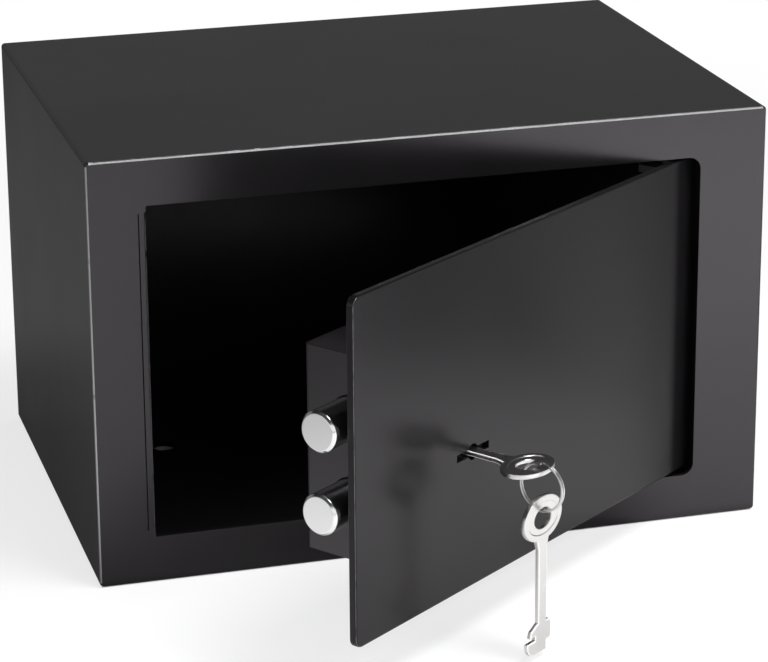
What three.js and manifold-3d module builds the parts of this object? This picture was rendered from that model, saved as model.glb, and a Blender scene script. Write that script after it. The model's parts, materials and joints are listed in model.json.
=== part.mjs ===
// Small furniture safe with a key-operated double-bit lever lock.
// Units are millimetres. X runs to the right, Y to the back and Z up.
// The origin is the centre of the body's underside. The door stands open as it is stored,
// with the round bolts thrown, the key in the lock and a spare key hanging from its ring.

import * as THREE from 'three';
import { mergeVertices } from 'three/addons/utils/BufferGeometryUtils.js';
import Module from 'manifold-3d';

const wasm = await Module();
wasm.setup();

// Body
const BODY_WIDTH = 280;
const BODY_HEIGHT = 176;
const BODY_DEPTH = 198;
const SHEET = 2;
const BEND_RADIUS = 3;
const FRONT_BEVEL = 0.8;
const BORDER_LEFT = 23.2;
const BORDER_RIGHT = 28;
const BORDER_TOP = 19;
const BORDER_BOTTOM = 19;
const OPENING_RADIUS = 5;
const OPENING_CATCH_RADIUS = 2;
const BACK_FIT = 0.3;
const ANCHOR_DIAMETER = 10;
const FLOOR_ANCHOR_SPACING = 170;
const FLOOR_ANCHOR_SETBACK = 60;
const BACK_ANCHOR_SPACING = 150;
const BACK_ANCHOR_HEIGHT = 118;

// Catch flange, folded in along the left side of the opening
const CATCH_DEPTH = 27;
const CATCH_END_RELIEF = 2.5;
const CATCH_HOLE_CLEARANCE = 1.2;

// Door
const DOOR_GAP = 1.2;
const DOOR_HINGE_GAP = 1.4;
const DOOR_THICKNESS = 3;
const DOOR_BEVEL = 0.8;
const DOOR_CORNER_RADIUS = 4;
const DOOR_REST_ANGLE = 36.5;
const SEAT = 0.3;

// Concealed hinge
const PIVOT_INSET = 12;
const PIVOT_DEPTH = 7.3;
const HINGE_PIN_DIAMETER = 6;
const HINGE_PIN_PROUD = 2;
const HINGE_FIT = 0.3;
const BRACKET_THICKNESS = 3;
const BRACKET_LEG_THICKNESS = 1.6;
const BRACKET_CLEARANCE = 2;
const BRACKET_REACH = 9;
const BRACKET_HALF_WIDTH = 13;
const BRACKET_LEG_HEIGHT = 9;
const LUG_INSET = 1.8;
const LUG_THICKNESS = 3;
const LUG_LEG_THICKNESS = 2.4;
const LUG_LEG_HEIGHT = 18;
const LUG_LEFT = 10;
const LUG_RIGHT = 7.5;
const LUG_REACH = 7;

// Lock housing on the back of the door
const COVER_RECESS = 14;
const COVER_WIDTH = 96;
const COVER_MARGIN = 14;
const COVER_BACK = 34;
const COVER_SHEET = 1.5;
const COVER_EDGE_RADIUS = 2;
const STANDOFF_DIAMETER = 8;
const STANDOFF_INSET = 8;
const COVER_SCREW_HEAD_DIAMETER = 7;
const COVER_SCREW_HEAD_HEIGHT = 2.2;
const COVER_SCREW_SHANK = 3.2;
const COVER_SCREW_LENGTH = 8;
const SCREW_FIT = 0.3;
const SCREW_SLOT_WIDTH = 1;
const SCREW_SLOT_DEPTH = 1;

// Round bolts and the bar that carries them
const BOLT_DIAMETER = 16;
const BOLT_LENGTH = 34;
const BOLT_CHAMFER = 1;
const BOLT_REACH = 5;
const BOLT_AXIS_DEPTH = 13;
const BOLT_SPACING = 32;
const BOLT_THROW = 9;
const BOLT_HOLE_CLEARANCE = 0.4;
const BAR_THICKNESS = 4;
const BAR_HEIGHT = 52;
const BAR_FRONT = 6;
const BAR_BACK = 27;
const BOLT_SCREW_SHANK = 6;
const BOLT_SCREW_HEAD_DIAMETER = 8;
const BOLT_SCREW_HEAD_HEIGHT = 3;
const BOLT_SCREW_DEPTH = 12;

// Key: oval bow with a raised rim, flat shank, a large bit on one side and a small one on the other
const KEY_FROM_FREE_EDGE = 72.2;
const KEY_BELOW_MIDDLE = 12.8;
const KEY_THICKNESS = 2;
const KEY_LENGTH = 63.4;
const KEY_STANDS_OUT = 34;
const KEY_TURN = 90;
const BOW_WIDTH = 24.6;
const BOW_HEIGHT = 18;
const BOW_HOLE_WIDTH = 11;
const BOW_HOLE_HEIGHT = 8;
const BOW_RIM_WIDTH = 2.6;
const BOW_WEB_THICKNESS = 1.5;
const BOW_EDGE_BEVEL = 0.4;
const NECK_WIDTH = 8;
const NECK_LENGTH = 3.5;
const SHANK_WIDTH = 5.2;
const BIT_LENGTH = 12.2;
const BIT_RADIUS = 9.6;
const BIT_CORNER_RADIUS = 4.5;
const BIT_TIP_LENGTH = 5.7;
const BIT_CUT_END = 7.6;
const BIT_CUT_RADIUS = 4.6;
const BIT_SECOND_END = 10;
const BIT_SECOND_RADIUS = 7.8;
const BIT_SHOULDER_RADIUS = 7;
const SMALL_BIT_RADIUS = 5.6;
const SMALL_BIT_START = 4;
const SMALL_BIT_END = 12;
const SMALL_BIT_CORNER_RADIUS = 1.5;

// Keyhole
const SLOT_WIDTH = 20.4;
const SLOT_HEIGHT = 3;
const SLOT_CENTRE_DIAMETER = 6.4;

// Lever pack, case and bolt plate, measured from the key's axis
const LEVER_LIFT = 7;
const LEVER_COUNT = 3;
const LEVER_THICKNESS = 1.4;
const LEVER_FIRST_DEPTH = 17.4;
const LEVER_PITCH = 2.4;
const LEVER_PIVOT_X = 26;
const LEVER_PIVOT_Z = 16;
const LEVER_HUB_RADIUS = 5.5;
const LEVER_LEFT = -26;
const LEVER_TOP = 24;
const LEVER_TOP_CORNER = 2;
const LEVER_SHOULDER = 8;
const LEVER_BELLY_RISE = 4;
const LEVER_CLEARANCE = 0.3;
const POST_DIAMETER = 5;
const POST_FIT = 0.3;
const STUMP_X = -22;
const STUMP_Z = 14.5;
const STUMP_SIZE = 4;
const GATE_CLEARANCE = 0.6;
const SPRING_THICKNESS = 0.6;
const SPRING_WIDTH = 1.2;
const SPRING_FOOT = 18;
const SPRING_BEND_RADIUS = 1.6;
const SPRING_TIP_GAP = 0.5;
const BOLT_PLATE_THICKNESS = 2.7;
const BOLT_PLATE_FRONT = 24;
const BOLT_PLATE_BOTTOM = 4.3;
const BOLT_PLATE_TOP = 22;
const BOLT_PLATE_RIGHT = 14;
const TALON_LEFT = -12.2;
const TALON_RIGHT = -6.9;
const TALON_TOP = 11.5;
const GUIDE_X = 6;
const GUIDE_Z = 16.5;
const CASE_LEFT = -19.4;
const CASE_RIGHT = 34.5;
const CASE_BOTTOM = -11.2;
const CASE_TOP = 35.8;
const CASE_SHEET = 1.5;
const CASE_BACK = 30;
const CASE_CORNER_RADIUS = 2;

// Split ring
const RING_RADIUS = 9.4;
const RING_WIRE_RADIAL = 1;
const RING_WIRE_AXIAL = 0.7;
const RING_TURN_PITCH = 1.15;
const RING_STEPS = 24;
const RING_SIDES = 6;
const RING_TURNS_DEGREES = 690;
const RING_CROSSING_START = 330;
const RING_CROSSING_END = 360;
const RING_DROP = 7.6;
const SPARE_DROP = 2.9;

// Values worked out from the sizes above
const frontY = -BODY_DEPTH / 2;
const frameBackY = frontY + SHEET;
const openingLeft = -BODY_WIDTH / 2 + BORDER_LEFT;
const openingRight = BODY_WIDTH / 2 - BORDER_RIGHT;
const openingBottom = BORDER_BOTTOM;
const openingTop = BODY_HEIGHT - BORDER_TOP;
const pivotX = openingRight - PIVOT_INSET;
const pivotY = frontY + PIVOT_DEPTH;
const doorLeft = openingLeft + DOOR_GAP - pivotX;
const doorRight = PIVOT_INSET - DOOR_HINGE_GAP;
const doorBottom = openingBottom + DOOR_GAP;
const doorTop = openingTop - DOOR_GAP;
const doorFrontY = -PIVOT_DEPTH;
const doorMiddle = (doorBottom + doorTop) / 2;
const keyHeight = doorMiddle - KEY_BELOW_MIDDLE;
const keyX = doorLeft + KEY_FROM_FREE_EDGE;
const bowHalf = BOW_HEIGHT / 2;
const tipDistance = KEY_LENGTH - bowHalf;
const bowDepth = -(KEY_STANDS_OUT - bowHalf);
const tipDepth = bowDepth + tipDistance;
const boltLeft = doorLeft - BOLT_REACH;
const boltRight = boltLeft + BOLT_LENGTH;
const barLeft = boltRight + SEAT;
const barRight = barLeft + BAR_THICKNESS;
const boltHeights = [doorMiddle + BOLT_SPACING / 2, doorMiddle - BOLT_SPACING / 2];
const coverLeft = doorLeft + COVER_RECESS;
const coverRight = coverLeft + COVER_WIDTH;
const caseBottom = keyHeight + CASE_BOTTOM;
const caseTop = keyHeight + CASE_TOP;
const barBottom = doorMiddle - BAR_HEIGHT / 2;
const barTop = doorMiddle + BAR_HEIGHT / 2;
const coverBottom = Math.min(caseBottom, barBottom) - COVER_MARGIN;
const coverTop = Math.max(caseTop, barTop) + COVER_MARGIN;

const radians = THREE.MathUtils.degToRad;

// Depth behind the face of the door, as a Y in the door's own frame
function behind(depth) {
  return doorFrontY + depth;
}

// Materials
function finish(color, roughness, metalness) {
  return new THREE.MeshStandardMaterial({ color, roughness, metalness });
}

const blackPaint = finish(0x1c1b1d, 0.38, 0.15);
const blackDoorPaint = finish(0x232224, 0.34, 0.15);
const blackLining = finish(0x141315, 0.6, 0.1);
const brightNickel = finish(0xd6d6d8, 0.22, 1);
const zincSteel = finish(0x9a9c9f, 0.4, 0.9);
const springSteel = finish(0x6d7075, 0.35, 0.9);
const lockBrass = finish(0xb08d4a, 0.35, 0.9);

// Solids: three.js geometry in, closed manifold out, and back again
function solid(geometry) {
  const plain = geometry.index ? geometry.clone() : geometry;
  plain.deleteAttribute('normal');
  plain.deleteAttribute('uv');
  const merged = mergeVertices(plain, 1e-4);
  return new wasm.Manifold(new wasm.Mesh({
    numProp: 3,
    vertProperties: new Float32Array(merged.attributes.position.array),
    triVerts: new Uint32Array(merged.index.array),
  }));
}

function geometryOf(manifold) {
  const mesh = manifold.getMesh();
  const geometry = new THREE.BufferGeometry();
  geometry.setAttribute('position', new THREE.BufferAttribute(Float32Array.from(mesh.vertProperties), 3));
  geometry.setIndex(new THREE.BufferAttribute(Uint32Array.from(mesh.triVerts), 1));
  return geometry;
}

function cut(base, ...tools) {
  let result = solid(base);
  for (const tool of tools) {
    result = result.subtract(solid(tool));
  }
  return geometryOf(result);
}

function join(...pieces) {
  let result = solid(pieces[0]);
  for (const piece of pieces.slice(1)) {
    result = result.add(solid(piece));
  }
  return geometryOf(result);
}

// A box given by its lowest and highest corners
function block(x0, x1, y0, y1, z0, z1) {
  const geometry = new THREE.BoxGeometry(x1 - x0, y1 - y0, z1 - z0);
  return geometry.translate((x0 + x1) / 2, (y0 + y1) / 2, (z0 + z1) / 2);
}

// A rectangle with its own radius at each corner, from bottom left anticlockwise
function roundedRectangle(x0, x1, y0, y1, radii) {
  const [a, b, c, d] = radii;
  const shape = new THREE.Shape();
  shape.moveTo(x0 + a, y0);
  shape.lineTo(x1 - b, y0);
  shape.absarc(x1 - b, y0 + b, b, -Math.PI / 2, 0);
  shape.lineTo(x1, y1 - c);
  shape.absarc(x1 - c, y1 - c, c, 0, Math.PI / 2);
  shape.lineTo(x0 + d, y1);
  shape.absarc(x0 + d, y1 - d, d, Math.PI / 2, Math.PI);
  shape.lineTo(x0, y0 + a);
  shape.absarc(x0 + a, y0 + a, a, Math.PI, Math.PI * 1.5);
  return shape;
}

function circle(x, y, radius) {
  const shape = new THREE.Shape();
  shape.absarc(x, y, radius, 0, Math.PI * 2);
  return shape;
}

function oval(width, height) {
  const shape = new THREE.Shape();
  shape.absellipse(0, 0, width / 2, height / 2, 0, Math.PI * 2);
  return shape;
}

function polygon(points) {
  return new THREE.Shape(points.map(([x, y]) => new THREE.Vector2(x, y)));
}

// An outline drawn as X and Z, extruded towards the back from y0 to y1
function upright(shape, y0, y1, curveSegments = 8) {
  const geometry = new THREE.ExtrudeGeometry(shape, { depth: y1 - y0, bevelEnabled: false, curveSegments });
  return geometry.rotateX(Math.PI / 2).translate(0, y1, 0);
}

// An outline drawn as X and Y, extruded upwards from z0 to z1
function raised(shape, z0, z1, curveSegments = 8) {
  const geometry = new THREE.ExtrudeGeometry(shape, { depth: z1 - z0, bevelEnabled: false, curveSegments });
  return geometry.translate(0, 0, z0);
}

// A round rod along X, Y or Z
function rod(axis, radius, start, end, a, b, sides = 24) {
  const geometry = new THREE.CylinderGeometry(radius, radius, end - start, sides);
  const middle = (start + end) / 2;
  if (axis === 'x') {
    return geometry.rotateZ(Math.PI / 2).translate(middle, a, b);
  }
  if (axis === 'y') {
    return geometry.translate(a, middle, b);
  }
  return geometry.rotateX(Math.PI / 2).translate(a, b, middle);
}

// A sheet plate standing upright whose front edges are bevelled
function bevelledPlate(x0, x1, z0, z1, radii, y0, thickness, bevel) {
  const inner = radii.map((radius) => Math.max(radius - bevel, 0.2));
  const shape = roundedRectangle(x0 + bevel, x1 - bevel, z0 + bevel, z1 - bevel, inner);
  const geometry = new THREE.ExtrudeGeometry(shape, {
    depth: thickness,
    bevelThickness: bevel,
    bevelSize: bevel,
    bevelSegments: 2,
    curveSegments: 6,
  });
  geometry.rotateX(Math.PI / 2).translate(0, y0 + bevel + thickness, 0);
  const waste = block(x0 - 1, x1 + 1, y0 + thickness, y0 + thickness + 2 * bevel + 1, z0 - 1, z1 + 1);
  return cut(geometry, waste);
}

// Body shell: one sheet folded round four bends, open at both ends
function bodyShell() {
  const half = BODY_WIDTH / 2;
  const inside = BEND_RADIUS - SHEET;
  const outer = roundedRectangle(-half, half, 0, BODY_HEIGHT, Array(4).fill(BEND_RADIUS));
  const hole = roundedRectangle(
    -half + SHEET, half - SHEET, SHEET, BODY_HEIGHT - SHEET, Array(4).fill(inside),
  );
  outer.holes.push(hole);
  const tube = upright(outer, frameBackY, BODY_DEPTH / 2, 5);
  const anchors = [-1, 1].map((side) => rod(
    'z', ANCHOR_DIAMETER / 2, -1, SHEET + 1,
    side * FLOOR_ANCHOR_SPACING / 2, BODY_DEPTH / 2 - FLOOR_ANCHOR_SETBACK,
  ));
  return cut(tube, ...anchors);
}

function backPanel() {
  const half = BODY_WIDTH / 2 - SHEET - BACK_FIT;
  const low = SHEET + BACK_FIT;
  const corner = Array(4).fill(BEND_RADIUS - SHEET);
  const outline = roundedRectangle(-half, half, low, BODY_HEIGHT - low, corner);
  for (const side of [-1, 1]) {
    outline.holes.push(circle(side * BACK_ANCHOR_SPACING / 2, BACK_ANCHOR_HEIGHT, ANCHOR_DIAMETER / 2));
  }
  return upright(outline, BODY_DEPTH / 2 - SHEET, BODY_DEPTH / 2);
}

// The front's left edge is rolled inwards and runs on as the flange that catches the bolts
function catchFlange(z0, z1) {
  const bendX = openingLeft - BEND_RADIUS;
  const bendY = frontY + BEND_RADIUS;
  const endY = frontY + CATCH_DEPTH;
  const profile = new THREE.Shape();
  profile.moveTo(bendX - 1, frontY);
  profile.lineTo(bendX, frontY);
  profile.absarc(bendX, bendY, BEND_RADIUS, -Math.PI / 2, 0);
  profile.lineTo(openingLeft, endY);
  profile.lineTo(openingLeft - SHEET, endY);
  profile.lineTo(openingLeft - SHEET, bendY);
  profile.absarc(bendX, bendY, BEND_RADIUS - SHEET, 0, -Math.PI / 2, true);
  profile.lineTo(bendX - 1, frameBackY);
  const flange = raised(profile, z0, z1, 6);
  const holeRadius = BOLT_DIAMETER / 2 + CATCH_HOLE_CLEARANCE;
  const holes = boltHeights.map((height) => rod(
    'x', holeRadius, openingLeft - 2 * SHEET, openingLeft + SHEET, frontY + BOLT_AXIS_DEPTH, height,
  ));
  return cut(flange, ...holes);
}

function frontFrame() {
  const half = BODY_WIDTH / 2;
  const plate = bevelledPlate(
    -half, half, 0, BODY_HEIGHT, Array(4).fill(BEND_RADIUS), frontY, SHEET, FRONT_BEVEL,
  );
  const radii = [OPENING_CATCH_RADIUS, OPENING_RADIUS, OPENING_RADIUS, OPENING_CATCH_RADIUS];
  const opening = upright(
    roundedRectangle(openingLeft, openingRight, openingBottom, openingTop, radii),
    frontY - 1, frameBackY + 1,
  );
  const catchBottom = openingBottom + CATCH_END_RELIEF;
  const catchTop = openingTop - CATCH_END_RELIEF;
  const bendRelief = block(
    openingLeft - BEND_RADIUS, openingLeft + 1, frontY - 1, frameBackY + 1, catchBottom, catchTop,
  );
  return join(cut(plate, opening, bendRelief), catchFlange(catchBottom, catchTop));
}

// Hinge brackets stand behind the front's border; side is 1 for the upper and -1 for the lower
function heightFrom(side, distance) {
  return side > 0 ? BODY_HEIGHT - distance : distance;
}

function span(side, near, far) {
  const a = heightFrom(side, near);
  const b = heightFrom(side, far);
  return [Math.min(a, b), Math.max(a, b)];
}

function borderOf(side) {
  return side > 0 ? BORDER_TOP : BORDER_BOTTOM;
}

function hingeBracket(side) {
  const legStart = borderOf(side) - BRACKET_CLEARANCE;
  const shelf = span(side, legStart, legStart - BRACKET_THICKNESS);
  const leg = span(side, legStart, legStart - BRACKET_THICKNESS - BRACKET_LEG_HEIGHT);
  const x0 = pivotX - BRACKET_HALF_WIDTH;
  const x1 = pivotX + BRACKET_HALF_WIDTH;
  const angle = join(
    block(x0, x1, frameBackY, pivotY + BRACKET_REACH, ...shelf),
    block(x0, x1, frameBackY, frameBackY + BRACKET_LEG_THICKNESS, ...leg),
  );
  const bore = rod(
    'z', HINGE_PIN_DIAMETER / 2 + HINGE_FIT, shelf[0] - 1, shelf[1] + 1, pivotX, pivotY,
  );
  return cut(angle, bore);
}

// Door pieces are drawn closed, with the hinge axis at x = 0, y = 0
function keyholeCut(y0, y1) {
  const slot = block(
    keyX - SLOT_WIDTH / 2, keyX + SLOT_WIDTH / 2, y0, y1,
    keyHeight - SLOT_HEIGHT / 2, keyHeight + SLOT_HEIGHT / 2,
  );
  return join(slot, rod('y', SLOT_CENTRE_DIAMETER / 2, y0, y1, keyX, keyHeight));
}

function doorPlate() {
  const plate = bevelledPlate(
    doorLeft, doorRight, doorBottom, doorTop, Array(4).fill(DOOR_CORNER_RADIUS),
    doorFrontY, DOOR_THICKNESS, DOOR_BEVEL,
  );
  return cut(plate, keyholeCut(behind(-1), behind(DOOR_THICKNESS + 1)));
}

function lugShelf(side) {
  const start = borderOf(side) + DOOR_GAP + LUG_INSET;
  return span(side, start, start + LUG_THICKNESS);
}

function hingeLug(side) {
  const start = borderOf(side) + DOOR_GAP + LUG_INSET;
  const leg = span(side, start, start + LUG_THICKNESS + LUG_LEG_HEIGHT);
  const shelf = lugShelf(side);
  const y0 = behind(DOOR_THICKNESS + SEAT);
  const shelfBlock = block(-LUG_LEFT, LUG_RIGHT, y0, LUG_REACH, ...shelf);
  const bore = rod('z', HINGE_PIN_DIAMETER / 2 + HINGE_FIT, shelf[0] - 1, shelf[1] + 1, 0, 0);
  const legBlock = block(-LUG_LEFT, LUG_RIGHT, y0, y0 + LUG_LEG_THICKNESS, ...leg);
  return cut(join(shelfBlock, legBlock), bore);
}

// The pin is held in the door's lug and turns in the body's bracket
function hingePin(side) {
  const bracketFar = borderOf(side) - BRACKET_CLEARANCE - BRACKET_THICKNESS - HINGE_PIN_PROUD;
  const lugFar = borderOf(side) + DOOR_GAP + LUG_INSET + LUG_THICKNESS;
  const [z0, z1] = span(side, bracketFar, lugFar);
  return rod('z', HINGE_PIN_DIAMETER / 2, z0, z1, 0, 0);
}

// Lock cover: a folded sheet box, open towards the door plate
function lockCover() {
  const y0 = behind(DOOR_THICKNESS + SEAT);
  const y1 = behind(COVER_BACK);
  const inside = COVER_EDGE_RADIUS - COVER_SHEET;
  const outer = raised(
    roundedRectangle(coverLeft, coverRight, y0, y1, [0, 0, COVER_EDGE_RADIUS, COVER_EDGE_RADIUS]),
    coverBottom, coverTop, 4,
  );
  const hollow = raised(
    roundedRectangle(
      coverLeft + COVER_SHEET, coverRight - COVER_SHEET, y0 - 1, y1 - COVER_SHEET, [0, 0, inside, inside],
    ),
    coverBottom + COVER_SHEET, coverTop - COVER_SHEET, 4,
  );
  const boltHoles = boltHeights.map((height) => rod(
    'x', BOLT_DIAMETER / 2 + BOLT_HOLE_CLEARANCE, coverLeft - 1, coverLeft + COVER_SHEET + 1,
    behind(BOLT_AXIS_DEPTH), height, 32,
  ));
  const screwHoles = standoffPlaces().map(([x, z]) => rod(
    'y', COVER_SCREW_SHANK / 2 + SCREW_FIT, y1 - COVER_SHEET - 1, y1 + 1, x, z, 16,
  ));
  return cut(outer, hollow, ...boltHoles, ...screwHoles);
}

function standoffPlaces() {
  const places = [];
  for (const z of [coverTop - STANDOFF_INSET, coverBottom + STANDOFF_INSET]) {
    for (const x of [coverLeft + STANDOFF_INSET, coverRight - STANDOFF_INSET]) {
      places.push([x, z]);
    }
  }
  return places;
}

function standoff(x, z) {
  const y0 = behind(DOOR_THICKNESS + SEAT);
  const y1 = behind(COVER_BACK - COVER_SHEET - SEAT);
  const pillar = rod('y', STANDOFF_DIAMETER / 2, y0, y1, x, z, 6);
  const depth = COVER_SCREW_LENGTH - COVER_SHEET;
  const thread = rod('y', COVER_SCREW_SHANK / 2 + SCREW_FIT, y1 - depth, y1 + 1, x, z, 16);
  return cut(pillar, thread);
}

function coverScrew(x, z) {
  const seat = behind(COVER_BACK + SEAT);
  const top = seat + COVER_SCREW_HEAD_HEIGHT;
  const head = COVER_SCREW_HEAD_DIAMETER / 2;
  const profile = [
    [0, seat - COVER_SCREW_LENGTH],
    [COVER_SCREW_SHANK / 2, seat - COVER_SCREW_LENGTH],
    [COVER_SCREW_SHANK / 2, seat],
    [head, seat],
    [head, top - COVER_SCREW_HEAD_HEIGHT / 2],
    [head * 0.7, top],
    [0, top],
  ];
  const points = profile.map(([r, y]) => new THREE.Vector2(r, y));
  const body = new THREE.LatheGeometry(points, 16).translate(x, 0, z);
  const half = SCREW_SLOT_WIDTH / 2;
  const slot = block(x - head - 1, x + head + 1, top - SCREW_SLOT_DEPTH, top + 1, z - half, z + half);
  return cut(body, slot);
}

// Lock case: base and two folded walls, closed by a cap
function caseBase() {
  const x0 = keyX + CASE_LEFT;
  const x1 = keyX + CASE_RIGHT;
  const y0 = behind(DOOR_THICKNESS + SEAT);
  const y1 = behind(CASE_BACK - SEAT);
  const channel = cut(
    block(x0, x1, y0, y1, caseBottom, caseTop),
    block(x0 - 1, x1 + 1, y0 + CASE_SHEET, y1 + 1, caseBottom + CASE_SHEET, caseTop - CASE_SHEET),
  );
  return cut(channel, keyholeCut(y0 - 1, y0 + CASE_SHEET + 1));
}

function caseCap() {
  const outline = roundedRectangle(
    keyX + CASE_LEFT, keyX + CASE_RIGHT, caseBottom, caseTop, Array(4).fill(CASE_CORNER_RADIUS),
  );
  return upright(outline, behind(CASE_BACK), behind(CASE_BACK + CASE_SHEET));
}

function leverPost() {
  const y0 = behind(DOOR_THICKNESS + CASE_SHEET + 2 * SEAT);
  const y1 = behind(CASE_BACK - SEAT);
  return rod('y', POST_DIAMETER / 2, y0, y1, keyX + LEVER_PIVOT_X, keyHeight + LEVER_PIVOT_Z);
}

function boltGuidePost() {
  const y0 = behind(BOLT_PLATE_FRONT - SEAT);
  const y1 = behind(CASE_BACK - SEAT);
  return rod('y', POST_DIAMETER / 2, y0, y1, keyX + GUIDE_X, keyHeight + GUIDE_Z);
}

// How far the bit of this radius reaches up at each angle of the key decides the lever's belly
function bellyHeight(bitRadius) {
  let height = 0;
  const half = KEY_THICKNESS / 2;
  for (let angle = 0; angle <= KEY_TURN; angle += 3) {
    const turn = radians(angle);
    const top = bitRadius * Math.sin(turn) + half * Math.cos(turn);
    const arm = LEVER_PIVOT_X + bitRadius * Math.cos(turn);
    const lift = arm * Math.tan(radians(LEVER_LIFT * angle / KEY_TURN));
    height = Math.max(height, top - lift);
  }
  return height + LEVER_CLEARANCE;
}

// The stump's corners as the lifted lever sees them
function stumpInLever(share) {
  const lift = -radians(LEVER_LIFT) * share;
  const shift = BOLT_THROW * share;
  const low = -GATE_CLEARANCE;
  const high = STUMP_SIZE + GATE_CLEARANCE;
  return [[low, low], [high, low], [high, high], [low, high]].map(([dx, dz]) => {
    const x = STUMP_X + dx + shift - LEVER_PIVOT_X;
    const z = STUMP_Z + dz - LEVER_PIVOT_Z;
    return [
      LEVER_PIVOT_X + x * Math.cos(lift) + z * Math.sin(lift),
      LEVER_PIVOT_Z - x * Math.sin(lift) + z * Math.cos(lift),
    ];
  });
}

function leverGate() {
  const start = stumpInLever(0);
  const end = stumpInLever(1);
  return polygon([start[0], end[0], end[1], end[2], start[2], start[3]]);
}

function bitRadiusAt(depth) {
  const fromTip = tipDepth - depth;
  const step = bitSteps().find(([start, end]) => fromTip >= start && fromTip <= end);
  const [start, end, near, far] = step;
  return near + (far - near) * (fromTip - start) / (end - start);
}

function lever(index) {
  const front = LEVER_FIRST_DEPTH + index * LEVER_PITCH;
  const back = front + LEVER_THICKNESS;
  const reach = Math.max(bitRadiusAt(front), bitRadiusAt(back));
  const belly = bellyHeight(reach);
  const outline = polygon([
    [LEVER_LEFT, belly + LEVER_BELLY_RISE],
    [-reach - LEVER_BELLY_RISE, belly],
    [reach, belly],
    [LEVER_PIVOT_X, LEVER_PIVOT_Z - LEVER_HUB_RADIUS],
    [LEVER_PIVOT_X, LEVER_PIVOT_Z + LEVER_HUB_RADIUS],
    [LEVER_PIVOT_X - LEVER_SHOULDER, LEVER_TOP],
    [LEVER_LEFT + LEVER_TOP_CORNER, LEVER_TOP],
    [LEVER_LEFT, LEVER_TOP - LEVER_TOP_CORNER],
  ]);
  const y0 = behind(front);
  const y1 = behind(back);
  const body = join(
    upright(outline, y0, y1),
    rod('y', LEVER_HUB_RADIUS, y0, y1, LEVER_PIVOT_X, LEVER_PIVOT_Z),
  );
  const post = rod('y', POST_DIAMETER / 2 + POST_FIT, y0 - 1, y1 + 1, LEVER_PIVOT_X, LEVER_PIVOT_Z);
  return cut(body, upright(leverGate(), y0 - 1, y1 + 1), post).translate(keyX, 0, keyHeight);
}

// A leaf bent back over itself lies on each lever; its tip clears the case when the lever is lifted
function leverSpring(index) {
  const front = LEVER_FIRST_DEPTH + index * LEVER_PITCH + (LEVER_THICKNESS - SPRING_WIDTH) / 2;
  const seat = LEVER_TOP + SEAT;
  const footEnd = LEVER_PIVOT_X - LEVER_SHOULDER - SPRING_BEND_RADIUS;
  const bendZ = seat + SPRING_BEND_RADIUS;
  const inner = SPRING_BEND_RADIUS - SPRING_THICKNESS;
  const tipX = footEnd - SPRING_FOOT;
  const rise = (LEVER_PIVOT_X - tipX) * Math.tan(radians(LEVER_LIFT));
  const tipZ = CASE_TOP - CASE_SHEET - SPRING_TIP_GAP - rise;
  const leaf = new THREE.Shape();
  leaf.moveTo(tipX, seat);
  leaf.lineTo(footEnd, seat);
  leaf.absarc(footEnd, bendZ, SPRING_BEND_RADIUS, -Math.PI / 2, Math.PI / 2);
  leaf.lineTo(tipX, tipZ);
  leaf.lineTo(tipX, tipZ - SPRING_THICKNESS);
  leaf.lineTo(footEnd, bendZ + inner);
  leaf.absarc(footEnd, bendZ, inner, Math.PI / 2, -Math.PI / 2, true);
  leaf.lineTo(tipX, seat + SPRING_THICKNESS);
  leaf.closePath();
  return upright(leaf, behind(front), behind(front + SPRING_WIDTH), 6).translate(keyX, 0, keyHeight);
}

// Bolt plate: the key's bit works in its talon and its stump passes the levers' gates
function boltPlate() {
  const left = barRight + SEAT - keyX;
  const y0 = behind(BOLT_PLATE_FRONT);
  const y1 = y0 + BOLT_PLATE_THICKNESS;
  const postRadius = POST_DIAMETER / 2 + POST_FIT;
  const plate = block(left, BOLT_PLATE_RIGHT, y0, y1, BOLT_PLATE_BOTTOM, BOLT_PLATE_TOP);
  const talon = block(TALON_LEFT, TALON_RIGHT, y0 - 1, y1 + 1, BOLT_PLATE_BOTTOM - 1, TALON_TOP);
  const slot = upright(
    roundedRectangle(
      GUIDE_X - BOLT_THROW - postRadius, GUIDE_X + postRadius,
      GUIDE_Z - postRadius, GUIDE_Z + postRadius, Array(4).fill(postRadius - 0.01),
    ),
    y0 - 1, y1 + 1, 6,
  );
  const stump = block(
    STUMP_X, STUMP_X + STUMP_SIZE, behind(LEVER_FIRST_DEPTH - SEAT), y0 + 1, STUMP_Z, STUMP_Z + STUMP_SIZE,
  );
  return join(cut(plate, talon, slot), stump).translate(keyX, 0, keyHeight);
}

function boltBar() {
  const bar = block(barLeft, barRight, behind(BAR_FRONT), behind(BAR_BACK), barBottom, barTop);
  const holes = boltHeights.map((height) => rod(
    'x', BOLT_SCREW_SHANK / 2 + SCREW_FIT, barLeft - 1, barRight + 1, behind(BOLT_AXIS_DEPTH), height,
  ));
  return cut(bar, ...holes);
}

function roundBolt(height) {
  const radius = BOLT_DIAMETER / 2;
  const thread = BOLT_SCREW_SHANK / 2 + SCREW_FIT;
  const profile = [
    [0, 0],
    [radius - BOLT_CHAMFER, 0],
    [radius, BOLT_CHAMFER],
    [radius, BOLT_LENGTH],
    [thread, BOLT_LENGTH],
    [thread, BOLT_LENGTH - BOLT_SCREW_DEPTH],
    [0, BOLT_LENGTH - BOLT_SCREW_DEPTH],
  ];
  const points = profile.map(([r, y]) => new THREE.Vector2(r, y));
  const bolt = new THREE.LatheGeometry(points, 32).rotateZ(-Math.PI / 2);
  return bolt.translate(boltLeft, behind(BOLT_AXIS_DEPTH), height);
}

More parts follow.
